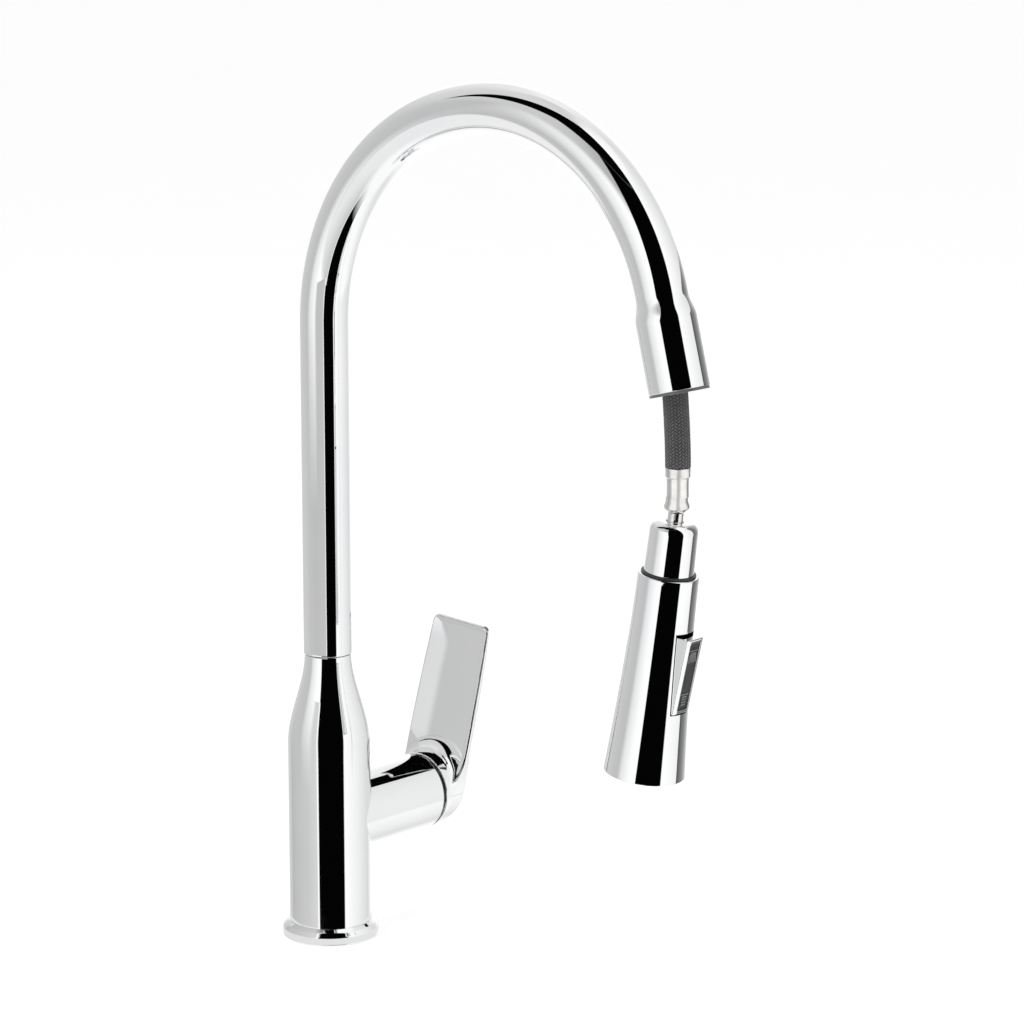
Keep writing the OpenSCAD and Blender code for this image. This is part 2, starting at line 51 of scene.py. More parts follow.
# ---------------------------------------------------------------- camera
camera_data = bpy.data.cameras.new("camera")
camera_data.lens = 117.69
camera_data.sensor_width = 36
camera_data.clip_start = 0.05
camera_data.clip_end = 60
camera = bpy.data.objects.new("camera", camera_data)
scene.collection.objects.link(camera)
camera.location = (1.31002, -1.35348, 0.61170)
looking = Vector((-0.642114, 0.743012, -0.188741))
camera.rotation_euler = looking.to_track_quat("-Z", "Y").to_euler()
scene.camera = camera
scene.view_settings.view_transform = "Standard"
scene.view_settings.look = "None"


# ---------------------------------------------------------------- node helpers
def add(tree, kind, inputs=(), **settings):
    """A shader node; inputs maps a socket name or index to a value or to another node's output."""
    node = tree.nodes.new(kind)
    for key, value in settings.items():
        setattr(node, key, value)
    for key, value in dict(inputs).items():
        if isinstance(value, bpy.types.NodeSocket):
            tree.links.new(value, node.inputs[key])
        else:
            node.inputs[key].default_value = value
    return node


def math_node(tree, operation, a, b=0.0, c=0.0):
    return add(tree, "ShaderNodeMath", {0: a, 1: b, 2: c}, operation=operation).outputs[0]


def ramp(tree, fac, stops):
    """Colour ramp; each stop is (position, grey) or (position, (r, g, b))."""
    node = add(tree, "ShaderNodeValToRGB", {"Fac": fac})
    elements = node.color_ramp.elements
    while len(elements) < len(stops):
        elements.new(0.5)
    for element, (place, colour) in zip(elements, stops):
        element.position = place
        rgb = (colour,) * 3 if isinstance(colour, float) else colour
        element.color = (*rgb, 1.0)
    return node.outputs["Color"]


def noise(tree, coords, scale, detail=4.0, roughness=0.55):
    node = add(tree, "ShaderNodeTexNoise", {"Vector": coords, "Scale": scale, "Detail": detail})
    node.inputs["Roughness"].default_value = roughness
    return node.outputs["Fac"]


def span(tree, value, low, high, to_low, to_high):
    return add(
        tree,
        "ShaderNodeMapRange",
        {"Value": value, "From Min": low, "From Max": high, "To Min": to_low, "To Max": to_high},
    ).outputs["Result"]


def dot_with(tree, vector, direction):
    node = add(tree, "ShaderNodeVectorMath", {0: vector, 1: direction}, operation="DOT_PRODUCT")
    return node.outputs["Value"]


def material(name, **constants):
    """Empty principled material; the constants are socket names with underscores for spaces."""
    mat = bpy.data.materials.new(name)
    mat.use_nodes = True
    tree = mat.node_tree
    tree.nodes.clear()
    out = add(tree, "ShaderNodeOutputMaterial")
    bsdf = add(tree, "ShaderNodeBsdfPrincipled")
    tree.links.new(bsdf.outputs[0], out.inputs[0])
    for key, value in constants.items():
        bsdf.inputs[key.replace("_", " ")].default_value = value
    coords = add(tree, "ShaderNodeTexCoord").outputs["Object"]
    return mat, tree, bsdf, coords


def wear(tree, amount=1.0):
    """Edge mask from the mesh's own curvature: 1 on convex edges, 0 on flat faces."""
    pointy = add(tree, "ShaderNodeNewGeometry").outputs["Pointiness"]
    return span(tree, pointy, 0.52, 0.62, 0.0, amount)


def finish_of(name, dark, light, rough, scale, bump, bump_scale, edge=0.0, **constants):
    """Material whose colour and roughness drift with noise, with a fine grain and worn edges."""
    mat, tree, bsdf, coords = material(name, **constants)
    drift = noise(tree, coords, scale, 5.0)
    colour = ramp(tree, drift, [(0.3, dark), (0.7, light)])
    worn = (*[min(1, 1.5 * v + 0.04) for v in light], 1)
    lifted = add(tree, "ShaderNodeMix", {0: wear(tree, edge), 6: colour, 7: worn}, data_type="RGBA")
    tree.links.new(lifted.outputs[2], bsdf.inputs["Base Color"])
    grain = noise(tree, coords, bump_scale, 3.0)
    coarse, fine = math_node(tree, "MULTIPLY", drift, 0.6), math_node(tree, "MULTIPLY", grain, 0.4)
    mixed = math_node(tree, "ADD", coarse, fine)
    tree.links.new(span(tree, mixed, 0.3, 0.7, rough[0], rough[1]), bsdf.inputs["Roughness"])
    lift = add(tree, "ShaderNodeBump", {"Height": grain, "Strength": bump, "Distance": 0.0002})
    tree.links.new(lift.outputs[0], bsdf.inputs["Normal"])
    return mat


# ---------------------------------------------------------------- materials
def chrome_finish(name):
    """Polished plate: mirror surface with faint wiping haze, a trace of orange peel and rubbed edges."""
    mat, tree, bsdf, coords = material(name, Metallic=1.0)
    haze = noise(tree, coords, 26.0, 6.0, 0.6)
    stretched = add(tree, "ShaderNodeMapping", {"Vector": coords, "Scale": (900.0, 900.0, 60.0)}).outputs[0]
    wipes = noise(tree, stretched, 1.0, 2.0)
    tint = ramp(tree, haze, [(0.35, (0.925, 0.93, 0.94)), (0.7, (0.955, 0.957, 0.96))])
    bare = (0.99, 0.985, 0.975, 1)
    rubbed = add(tree, "ShaderNodeMix", {0: wear(tree, 0.35), 6: tint, 7: bare}, data_type="RGBA")
    tree.links.new(rubbed.outputs[2], bsdf.inputs["Base Color"])
    blur = math_node(tree, "MULTIPLY", haze, math_node(tree, "ADD", wipes, 0.4))
    tree.links.new(span(tree, blur, 0.3, 0.65, 0.012, 0.05), bsdf.inputs["Roughness"])
    skin = noise(tree, coords, 260.0, 2.0)
    peel = add(tree, "ShaderNodeBump", {"Height": skin, "Strength": 0.012, "Distance": 0.0002})
    tree.links.new(peel.outputs[0], bsdf.inputs["Normal"])
    return mat


def turned_steel(name, base, rough):
    """Machined metal: fine rings round the vertical axis, with patchy stains."""
    mat, tree, bsdf, coords = material(name, Metallic=1.0)
    lathe_marks = add(
        tree, "ShaderNodeMapping", {"Vector": coords, "Scale": (30.0, 30.0, 2600.0)},
    ).outputs[0]
    marks = noise(tree, lathe_marks, 1.0, 3.0)
    stain = noise(tree, coords, 160.0, 5.0)
    colour = ramp(tree, stain, [(0.3, tuple(0.82 * v for v in base)), (0.65, base)])
    tree.links.new(colour, bsdf.inputs["Base Color"])
    tree.links.new(span(tree, marks, 0.3, 0.7, rough[0], rough[1]), bsdf.inputs["Roughness"])
    grooves = add(tree, "ShaderNodeBump", {"Height": marks, "Strength": 0.12, "Distance": 0.0001})
    tree.links.new(grooves.outputs[0], bsdf.inputs["Normal"])
    return mat


def nylon_yarn(name):
    """Braided strand: filaments run along it, and painted shade darkens it where it dives under another."""
    mat, tree, bsdf, coords = material(name, Sheen_Weight=0.25, Specular_IOR_Level=0.4)
    uv = add(tree, "ShaderNodeUVMap", uv_map="strand").outputs[0]
    across = add(tree, "ShaderNodeSeparateXYZ", {0: uv}).outputs["Y"]
    weave_uv = add(tree, "ShaderNodeUVMap", uv_map="shade_lift").outputs[0]
    shade_lift = add(tree, "ShaderNodeSeparateXYZ", {0: weave_uv}).outputs["X"]
    filaments = math_node(tree, "SINE", math_node(tree, "MULTIPLY", across, 44.0))
    fuzz = noise(tree, coords, 2600.0, 3.0)
    patch = noise(tree, coords, 240.0, 3.0)
    grain = math_node(tree, "ADD", fuzz, math_node(tree, "MULTIPLY", patch, 0.35))
    level = math_node(tree, "ADD", math_node(tree, "MULTIPLY", filaments, 0.08), grain)
    tones = [(0.3, (0.09, 0.09, 0.093)), (0.52, (0.16, 0.158, 0.163)), (0.75, (0.28, 0.277, 0.284))]
    colour = ramp(tree, math_node(tree, "MULTIPLY", level, 0.74), tones)
    # Painted shade: the colour drops to 0.02 of itself where the strand dives under another, and towards
    # its edges
    shade = span(tree, shade_lift, 0.35, 0.9, 0.02, 1.0)
    deep = add(tree, "ShaderNodeVectorMath", {0: colour, "Scale": shade}, operation="SCALE").outputs[0]
    tree.links.new(deep, bsdf.inputs["Base Color"])
    tree.links.new(span(tree, fuzz, 0.3, 0.7, 0.38, 0.6), bsdf.inputs["Roughness"])
    lift = add(tree, "ShaderNodeBump", {"Height": filaments, "Strength": 0.35, "Distance": 0.00006})
    tree.links.new(lift.outputs[0], bsdf.inputs["Normal"])
    return mat


chrome = chrome_finish("chrome_plate_look")
steel = turned_steel("steel_look", (0.9, 0.885, 0.865), (0.1, 0.22))
brass = turned_steel("brass_look", (0.78, 0.6, 0.3), (0.2, 0.4))
yarn = nylon_yarn("nylon_yarn_look")
white_plastic = finish_of(
    "white_plastic_look", (0.78, 0.78, 0.76), (0.86, 0.86, 0.84), (0.35, 0.55), 60.0, 0.1, 900.0, 0.2,
)
ceramic = finish_of(
    "ceramic_look", (0.86, 0.84, 0.79), (0.92, 0.9, 0.86), (0.08, 0.2), 80.0, 0.03, 1200.0, 0.1,
)
rubber = finish_of(
    "black_rubber_look", (0.012, 0.012, 0.013), (0.03, 0.03, 0.032), (0.5, 0.8), 120.0, 0.3, 1800.0, 0.25,
)
black_plastic = finish_of(
    "black_plastic_look", (0.01, 0.01, 0.011), (0.022, 0.022, 0.024), (0.28, 0.45), 90.0, 0.15, 1500.0, 0.3,
)
seal_plastic = finish_of(
    "seal_ring_look", (0.03, 0.031, 0.033), (0.055, 0.056, 0.059), (0.3, 0.48), 110.0, 0.15, 1500.0, 0.3,
)
insert_plastic = finish_of(
    "insert_look", (0.035, 0.036, 0.038), (0.06, 0.061, 0.064), (0.3, 0.5), 140.0, 0.2, 2200.0, 0.4,
)
pad_plastic = finish_of(
    "pad_look", (0.2, 0.2, 0.21), (0.3, 0.3, 0.31), (0.35, 0.55), 160.0, 0.2, 2200.0, 0.4,
)
lip_plastic = finish_of(
    "lip_look", (0.12, 0.122, 0.126), (0.18, 0.182, 0.188), (0.25, 0.4), 90.0, 0.08, 1300.0, 0.3,
)
grey_plastic = finish_of(
    "grey_plastic_look", (0.36, 0.37, 0.38), (0.46, 0.47, 0.48), (0.25, 0.42), 90.0, 0.1, 1300.0, 0.3,
)
nylon_core = finish_of(
    "nylon_core_look", (0.01, 0.01, 0.011), (0.03, 0.03, 0.032), (0.6, 0.8), 200.0, 0.3, 2200.0,
)
LOOKS = {
    "chrome_plate": chrome,
    "steel": steel,
    "brass_part": brass,
    "white_plastic": white_plastic,
    "ceramic_disc": ceramic,
    "black_rubber": rubber,
    "black_plastic": black_plastic,
    "dark_insert": insert_plastic,
    "grey_plastic": grey_plastic,
    "braided_nylon": nylon_core,
}
for node_name, node_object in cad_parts.items():
    for material_slot in node_object.material_slots:
        material_slot.material = LOOKS[material_slot.material.name.split(".")[0]]
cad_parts["neck_ring"].material_slots[0].material = seal_plastic
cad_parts["dock_insert"].material_slots[0].material = lip_plastic


# ---------------------------------------------------------------- mesh helpers, in millimetres
def build(name, points, faces, look, matrix=None, normals=None, sharp=32):
    """Smooth piece from points in millimetres; sharp is the angle above which an edge stays hard."""
    points = np.asarray(points, float)
    if matrix is not None:
        turn = np.array(matrix)
        points = points @ turn[:3, :3].T + turn[:3, 3]
        normals = None if normals is None else normals @ turn[:3, :3].T
    mesh = bpy.data.meshes.new(name)
    mesh.from_pydata((points * MM).tolist(), [], [list(map(int, f)) for f in faces])
    mesh.update()
    mesh.polygons.foreach_set("use_smooth", [True] * len(mesh.polygons))
    if normals is not None:
        mesh.normals_split_custom_set_from_vertices(normals.tolist())
    elif sharp:
        mesh.set_sharp_from_angle(angle=math.radians(sharp))
    mesh.materials.append(look)
    piece = bpy.data.objects.new(name, mesh)
    scene.collection.objects.link(piece)
    return piece


def arc_point(start, end, sweep, t):
    """Place on the arc between two arms of a circle, at the share t of the way."""
    return (math.sin((1 - t) * sweep) * start + math.sin(t * sweep) * end) / math.sin(sweep)


def rounded(corners, steps=7, hold=0.08):
    """Closed outline through corners (x, y, radius), each corner rounded and held by a close point."""
    out = []
    count = len(corners)
    for i, (x, y, radius) in enumerate(corners):
        p = np.array((x, y), float)
        if radius <= 0:
            out.append(p)
            continue
        a = np.array(corners[i - 1][:2], float) - p
        b = np.array(corners[(i + 1) % count][:2], float) - p
        long_a, long_b = np.hypot(*a), np.hypot(*b)
        a, b = a / long_a, b / long_b
        half = math.acos(np.clip(a @ b, -1, 1)) / 2
        if half > math.pi / 2 - 0.01:
            out.append(p)
            continue
        cut = min(radius / math.tan(half), 0.44 * long_a, 0.44 * long_b)
        reach = cut * math.tan(half)
        middle = (a + b) / np.hypot(*(a + b))
        centre = p + middle * reach / math.sin(half)
        start, end = p + a * cut - centre, p + b * cut - centre
        sweep = math.pi - 2 * half
        out.append(p + a * min(cut + hold, 0.49 * long_a))
        for k in range(steps + 1):
            out.append(centre + arc_point(start, end, sweep, k / steps))
        out.append(p + b * min(cut + hold, 0.49 * long_b))
    return np.array(out)


def grid_faces(rows, columns, close_rows):
    """Quads over a grid of rows x columns points, closed round the columns."""
    r = np.arange(rows if close_rows else rows - 1)
    c = np.arange(columns)
    rr, cc = np.meshgrid(r, c, indexing="ij")
    up, right = (rr + 1) % rows, (cc + 1) % columns
    quads = np.stack([rr * columns + cc, rr * columns + right, up * columns + right, up * columns + cc], -1)
    return quads.reshape(-1, 4)


def lathe_points(outline, count):
    a = 2 * math.pi * np.arange(count) / count
    r, z = outline[:, 0][:, None], outline[:, 1][:, None]
    return np.stack([r * np.cos(a), r * np.sin(a), z + 0 * a], -1).reshape(-1, 3)


def lathe(name, corners, look, matrix=None, count=160, steps=7):
    """Solid of revolution about Z. The outline runs anticlockwise in (radius, height)."""
    outline = rounded(corners, steps)
    return build(
        name, lathe_points(outline, count), grid_faces(len(outline), count, True), look, matrix,
    )


def inside_of(outline, u, v):
    """Signed distance to a closed outline, negative inside."""
    shape = np.broadcast(u, v).shape
    u, v = np.broadcast_to(u, shape).ravel(), np.broadcast_to(v, shape).ravel()
    best = np.full(u.shape, 1e9)
    odd = np.zeros(u.shape, bool)
    for (x0, y0), (x1, y1) in zip(outline, np.roll(outline, -1, 0)):
        dx, dy = x1 - x0, y1 - y0
        t = np.clip(((u - x0) * dx + (v - y0) * dy) / (dx * dx + dy * dy + 1e-12), 0, 1)
        best = np.minimum(best, (u - x0 - t * dx) ** 2 + (v - y0 - t * dy) ** 2)
        crosses = (y0 > v) != (y1 > v)
        odd ^= crosses & (u < dx * (v - y0) / (dy if abs(dy) > 1e-12 else 1e-12) + x0)
    return (np.sqrt(best) * np.where(odd, -1, 1)).reshape(shape)


def both(a, b, radius):
    """Intersection of two solids with a rounded edge."""
    return np.minimum(-radius, np.maximum(a, b)) + np.hypot(
        np.maximum(radius + a, 0), np.maximum(radius + b, 0),
    )


def either(a, b, radius):
    """Union of two solids with a fillet."""
    return -both(-a, -b, radius)


def surface(name, field, low, high, step, look, matrix=None):
    """Mesh of field(x, y, z) = 0 by surface nets, moved onto the exact surface and given its normals."""
    axes = [np.arange(l, h + step, step) for l, h in zip(low, high)]
    x, y, z = np.meshgrid(*axes, indexing="ij", sparse=True)
    value = field(x, y, z) * np.ones((len(axes[0]), len(axes[1]), len(axes[2])))
    inside = value < 0
    cells = [n - 1 for n in value.shape]
    total = np.zeros((*cells, 3))
    hits = np.zeros(cells)
    quads = []
    edges = []
    for a in range(3):
        b, c = (a + 1) % 3, (a + 2) % 3
        near = [slice(None)] * 3
        far = [slice(None)] * 3
        near[a], far[a] = slice(0, -1), slice(1, None)
        f0, f1 = value[tuple(near)], value[tuple(far)]
        where = np.argwhere((f0 < 0) != (f1 < 0))
        where = where[
            (where[:, b] > 0) & (where[:, c] > 0) & (where[:, b] < cells[b]) & (where[:, c] < cells[c])
        ]
        g0, g1 = f0[tuple(where.T)], f1[tuple(where.T)]
        place = where.astype(float)
        place[:, a] += g0 / (g0 - g1)
        for db, dc in ((0, 0), (1, 0), (1, 1), (0, 1)):
            q = where.copy()
            q[:, b] -= db
            q[:, c] -= dc
            np.add.at(total, tuple(q.T), place)
            np.add.at(hits, tuple(q.T), 1)
        edges.append((where, b, c, g0 < 0))
    used = hits > 0
    index = np.full(cells, -1)
    index[used] = np.arange(used.sum())
    points = total[used] / hits[used][:, None] * step + np.array([ax[0] for ax in axes])
    for where, b, c, outward in edges:
        corners = []
        for db, dc in ((0, 0), (1, 0), (1, 1), (0, 1)):
            q = where.copy()
            q[:, b] -= db
            q[:, c] -= dc
            corners.append(index[tuple(q.T)])
        quad = np.stack(corners, 1)
        quad[~outward] = quad[~outward][:, ::-1]
        quads.append(quad)
    eps = 0.01

    def slope(p):
        g = np.empty_like(p)
        for k in range(3):
            d = np.zeros(3)
            d[k] = eps
            g[:, k] = (field(*(p + d).T) - field(*(p - d).T)) / (2 * eps)
        return g

    for _ in range(4):
        g = slope(points)
        move = field(*points.T)[:, None] * g / np.maximum((g * g).sum(1, keepdims=True), 0.05)
        size = np.linalg.norm(move, axis=1, keepdims=True)
        points -= move * np.minimum(1, 0.5 * step / np.maximum(size, 1e-9))
    g = slope(points)
    g /= np.maximum(np.linalg.norm(g, axis=1, keepdims=True), 1e-9)
    return build(name, points, np.concatenate(quads), look, matrix, normals=g)


# ---------------------------------------------------------------- shared sizes, in millimetres
HEAD = Matrix.Translation((252.8, 0, 277.2)) @ Matrix.Rotation(math.radians(7.9), 4, "Y")
BOSS_Z = 69.3
BOSS_R = 22.8
BODY_R = 23.9
SEAM = 167.5
NECK_R = 13.6
TUBE_R = 14.0
MOUTH = math.radians(14)
# The gooseneck's two arcs: from the riser up to the top, and from the top down to the mouth
RISER_TOP = 359.0
RISE_R = 127.0
FALL_R = 119.0
FALL_Z = RISER_TOP + RISE_R - FALL_R
# Upright line of the hose's lower end
HOSE_X = 254.4


def ease(t):
    return t * t * (3 - 2 * t)


# ---------------------------------------------------------------- foot and body
ring = lathe(
    "foot_ring_skin",
    [
        (23.95, 1.0, 0), (27.0, 1.0, 0), (27.0, 0.2, 0.1), (27.9, 0.2, 0.3), (27.9, 4.7, 1.5),
        (26.5, 7.1, 1.8), (24.4, 8.8, 0.35), (23.95, 8.8, 0),
    ],
    chrome,
    count=224,
)
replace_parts(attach(ring, "body"), "base_ring")

body_corners = [(21.25, 1.0, 0), (BODY_R, 1.0, 0.2), (BODY_R, 114.0, 0)]
for i in range(1, 48):
    t = i / 48
    body_corners.append((BODY_R - (BODY_R - NECK_R) * ease(t), 115 + (SEAM - 115) * t, 0))
body_corners += [
    (NECK_R, SEAM, 0.45), (12.3, SEAM, 0.2), (12.3, 128.0, 0), (9.5, 127.0, 0), (9.5, 41.0, 0),
    (21.25, 40.0, 0),
]
outline = rounded(body_corners)
count = 224
points = lathe_points(outline, count)
faces = grid_faces(len(outline), count, True)

# Boss: a ring of sections that roll off the body with a small fillet and end in a rounded rim
fillet = 1.5
rows = []
turns = 224
for k in range(turns):
    b = 2 * math.pi * k / turns
    cb, sb = math.cos(b), math.sin(b)
    cx, cz = (BOSS_R + fillet) * cb, (BOSS_R + fillet) * sb
    cy = math.sqrt((BODY_R + fillet) ** 2 - cx * cx)
    share = BODY_R / (BODY_R + fillet)
    centre = np.array((cx, cy, cz))
    u0 = np.array((cx * share, cy * share, cz)) - centre
    u1 = np.array((BOSS_R * cb, cy, BOSS_R * sb)) - centre
    turn = math.acos(np.clip(u0 @ u1 / fillet**2, -1, 1))
    row = [centre + arc_point(u0, u1, turn, t) for t in np.linspace(0, 1, 11)]
    row.append(np.array((BOSS_R * cb, cy + 0.3, BOSS_R * sb)))
    for y in (45.0, 65.0, 73.9):
        row.append(np.array((BOSS_R * cb, y, BOSS_R * sb)))
    for q in np.linspace(0, math.pi / 2, 6):
        r = BOSS_R - 0.45 + 0.45 * math.cos(q)
        row.append(np.array((r * cb, 74.0 + 0.45 * math.sin(q), r * sb)))
    row.append(np.array((18.4 * cb, 74.45, 18.4 * sb)))
    rows.append(row)
boss = np.array(rows).transpose(1, 0, 2).reshape(-1, 3) + np.array((0, 0, BOSS_Z))
boss_faces = grid_faces(len(rows[0]), turns, False)[:, ::-1] + len(points)
body = build("body_skin", np.vstack([points, boss]), np.vstack([faces, boss_faces]), chrome)
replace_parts(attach(body, "body"), "body_shell")

# ---------------------------------------------------------------- gooseneck
def tube(name, stations, count, look):
    """Closed tube wall; a station is (centre, direction, radius) of one ring, in the XZ plane."""
    a = 2 * math.pi * np.arange(count) / count
    rings = []
    for (cx, cz), (dx, dz), r in stations:
        rings.append(np.stack([cx - dz * r * np.cos(a), r * np.sin(a), cz + dx * r * np.cos(a)], -1))
    return build(name, np.concatenate(rings), grid_faces(len(rings), count, True)[:, ::-1], look)


def spout_path(r, steps_up, steps_down):
    """Stations of radius r along the gooseneck's two arcs."""
    path = [((0, RISER_TOP), (0, 1), r)]
    for i in range(1, steps_up + 1):
        a = math.pi / 2 * i / steps_up
        centre = (RISE_R - RISE_R * math.cos(a), RISER_TOP + RISE_R * math.sin(a))
        path.append((centre, (math.sin(a), math.cos(a)), r))
    for i in range(1, steps_down + 1):
        a = math.pi / 2 - (math.pi / 2 - MOUTH) * i / steps_down
        centre = (RISE_R + FALL_R * math.cos(a), FALL_Z + FALL_R * math.sin(a))
        path.append((centre, (math.sin(a), -math.cos(a)), r))
    return path


stations = [((0, 167.9), (0, 1), 12.6), ((0, 167.9), (0, 1), 13.45)]
for q in np.linspace(0, math.pi / 2, 7):
    stations.append(((0, 167.9 + 0.45 - 0.45 * math.cos(q)), (0, 1), TUBE_R - 0.45 + 0.45 * math.sin(q)))
stations += [((0, 168.5), (0, 1), TUBE_R), ((0, 240.0), (0, 1), TUBE_R), ((0, 320.0), (0, 1), TUBE_R)]
stations += spout_path(TUBE_R, 110, 96) + spout_path(12.5, 40, 36)[::-1] + [((0, 190.0), (0, 1), 12.5)]
spout = tube("gooseneck_skin", stations, 160, chrome)
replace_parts(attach(spout, "spout"), "spout_tube")

arc_end = (RISE_R + FALL_R * math.cos(MOUTH), 0, FALL_Z + FALL_R * math.sin(MOUTH))
COLLAR = Matrix.Translation(arc_end) @ Matrix.Rotation(math.pi - MOUTH, 4, "Y")
collar_corners = [(12.4, 0.0, 0), (TUBE_R, 0.0, 0), (TUBE_R, 1.9, 0)]
for i in range(1, 32):
    t = i / 32
    collar_corners.append((TUBE_R + 2.3 * ease(t), 2 + 12 * t, 0))
collar_corners += [
    (16.3, 14.2, 0), (16.3, 51.0, 0.45), (15.1, 51.0, 0.15), (15.1, 17.0, 0), (11.3, 16.0, 0),
    (11.3, 0.0, 0),
]
collar = lathe("collar_skin", collar_corners, chrome, COLLAR, 192)
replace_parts(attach(collar, "spout"), "dock_collar")
liner = lathe(
    "collar_liner_skin",
    [
        (14.5, 17.1, 0), (14.5, 52.5, 0.4), (15.9, 52.5, 0.55), (15.9, 51.05, 0), (15.05, 51.05, 0),
        (15.05, 17.1, 0),
    ][::-1],
    lip_plastic,
    COLLAR,
    160,
)
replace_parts(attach(liner, "spout"), "dock_insert")

# ---------------------------------------------------------------- lever
HUB_START = 77.1
BLADE_TOP = 168.7
# Half widths of the blade's top and of its widest place, just above the hub
TOP_HALF_W = 22.2
WIDE_HALF_W = 24.2


def plate_front(z):
    """Front of the leaning blade at a height, without its dish."""
    return 91 + 0.305 * (z - 88)


hub_out = [
    (HUB_START, 46.4), (79.6, 47.7), (82, 49.5), (84.4, 51.7), (86.6, 54.4), (88.6, 57.4), (90.2, 60.6),
    (91.6, 64.0), (92.6, 67.4), (93.4, 70.8), (94.0, 74.3), (94.5, 78.0), (95.1, 82.0), (96.0, 86.0),
]
plate_out = []
for z in (92, 100, 110, 120, 130, 140, 150, 160, 172):
    plate_out.append((plate_front(z) + 4.3 - 1.5 * (max(z - 105, 0) / 63) ** 2, z))


def smooth_line(corners, each):
    """Catmull-Rom curve through the corners."""
    p = np.array([corners[0]] + list(corners) + [corners[-1]], float)
    out = []
    for i in range(1, len(p) - 2):
        before, here, there, after = p[i - 1 : i + 3]
        for t in np.arange(each) / each:
            first = (there - before) * t
            second = (2 * before - 5 * here + 4 * there - after) * t * t
            third = (3 * here - before - 3 * there + after) * t**3
            out.append(0.5 * (2 * here + first + second + third))
    return out + [p[-2]]


outer_side = np.array([(60.0, 46.4)] + smooth_line(hub_out + plate_out, 3) + [(60.0, 172.0)])


def half_width(z):
    """Half of the lever's width: widest just above the hub."""
    up = np.clip((z - 96) / 72, 0, 1)
    down = np.clip((96 - z) / (96 - BOSS_Z), 0, 1)
    return WIDE_HALF_W - 2.0 * up * up - 1.4 * down * down


front = []
for a in np.linspace(math.pi, 2 * math.pi, 49):
    front.append((BOSS_R * math.cos(a), BOSS_Z + BOSS_R * math.sin(a)))
front += [(side * half_width(z), z) for z in np.arange(72.0, 155.0, 2.0) for side in (-1, 1)]
shoulder = half_width(156.0)
top_corners = [
    (-TOP_HALF_W, BLADE_TOP, 4.0), (-shoulder, 156.0, 0), (shoulder, 156.0, 0), (TOP_HALF_W, 165.8, 7.0)
]
front += [(p[0], p[1]) for p in rounded(top_corners, 8, 0.0)]
front_outline = np.array(sorted(front, key=lambda p: math.atan2(p[1] - 100, p[0])))


def ramp_to_one(t, soft=0.16):
    """Rises with t, levels off softly at 1, and stays at 0 below 0."""
    t = np.maximum(t, 0)
    h = np.clip(0.5 + 0.5 * (1 - t) / soft, 0, 1)
    return 1 + (t - 1) * h - soft * h * (1 - h)


def lever_field(x, y, z):
    """Round hub with a leaning blade, whose front is dished, hollow over the cartridge."""
    half = half_width(z)
    below_top = BLADE_TOP - 2.9 * (x + 22) / 44 - z
    wide = 4.5 + 9.5 * ease(np.clip(below_top / 17, 0, 1))
    low = (x + 8.3) * 0.595 + (z - 98.2) * 0.804
    dish = np.minimum(ramp_to_one((x + half - 0.8) / wide), ramp_to_one((half - x - 1.0) / 2.0, 0.3))
    dish = np.minimum(dish, ramp_to_one((below_top - 1.0) / 3.0, 0.3))
    dish = np.minimum(dish, ramp_to_one(low / 7 + 1, 0.3))
    back = (plate_front(z) + 1.05 * dish - y) / 1.0455
    axis = np.hypot(x, z - BOSS_Z)
    hub = both(axis - BOSS_R, HUB_START - y, 0.4)
    solid = either(hub, back, 8.0)
    solid = both(solid, inside_of(front_outline, x, z), 1.6)
    solid = both(solid, inside_of(outer_side, y, z), 1.3)
    relief = np.maximum(np.sqrt(x * x + (y - 58) ** 2 + (z - BOSS_Z) ** 2) - 28.9, 7.6 - axis)
    solid = np.maximum(solid, -relief)
    plug = np.maximum(np.hypot(y - 84, z - BOSS_Z) - 3.1, x + 17.5)
    return np.maximum(solid, -plug)


lever = surface("lever_skin", lever_field, (-25, 76, 45.5), (25, 120, 170), 0.55, chrome)
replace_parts(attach(lever, "lever"), "handle_lever")

# ---------------------------------------------------------------- spray head
cap_corners = [(4.6, 0.0, 0.3)]
cap_corners += [
    (7.6 + 5.3 * math.sin(q), -5.3 + 5.3 * math.cos(q), 0)
    for q in np.linspace(0, math.pi / 2, 20)
]
cap_corners += [(13.4, -27.5, 0.25), (11.9, -27.5, 0.1), (11.3, -6.0, 0), (4.6, -6.0, 0)]
cap = lathe("neck_cap_skin", cap_corners[::-1], chrome, HEAD, 160, 14)
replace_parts(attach(cap, "spray_head"), "neck_cap")

seal = lathe(
    "seal_ring_skin", [(11.3, -27.52, 0), (11.3, -28.5, 0), (14.6, -28.5, 0.2), (14.6, -27.7, 0.4)],
    seal_plastic, HEAD, 160,
)
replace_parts(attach(seal, "spray_head"), "neck_ring")


SHELL_TOP = -28.6
SHELL_L = 111.4
SHELL_END = -140.0
SHELL_TOP_R = 16.4


def shell_r(t):
    """Outer radius at the share t of the shell's length."""
    return SHELL_TOP_R + 5.7 * t**1.6


shell_corners = [(10.1, -31.9, 0), (10.1, SHELL_TOP, 0), (SHELL_TOP_R, SHELL_TOP, 0.6)]
shell_corners += [(shell_r(t), SHELL_TOP - SHELL_L * t, 0) for t in np.linspace(0.02, 0.99, 60)]
shell_corners += [(22.1, SHELL_END, 0.5), (20.3, SHELL_END, 0.3)]
shell_corners += [(shell_r(t) - 1.8, SHELL_TOP - SHELL_L * t, 0) for t in np.linspace(0.97, 0.03, 30)]
shell = lathe("shell_skin", shell_corners[::-1], chrome, HEAD, 192)
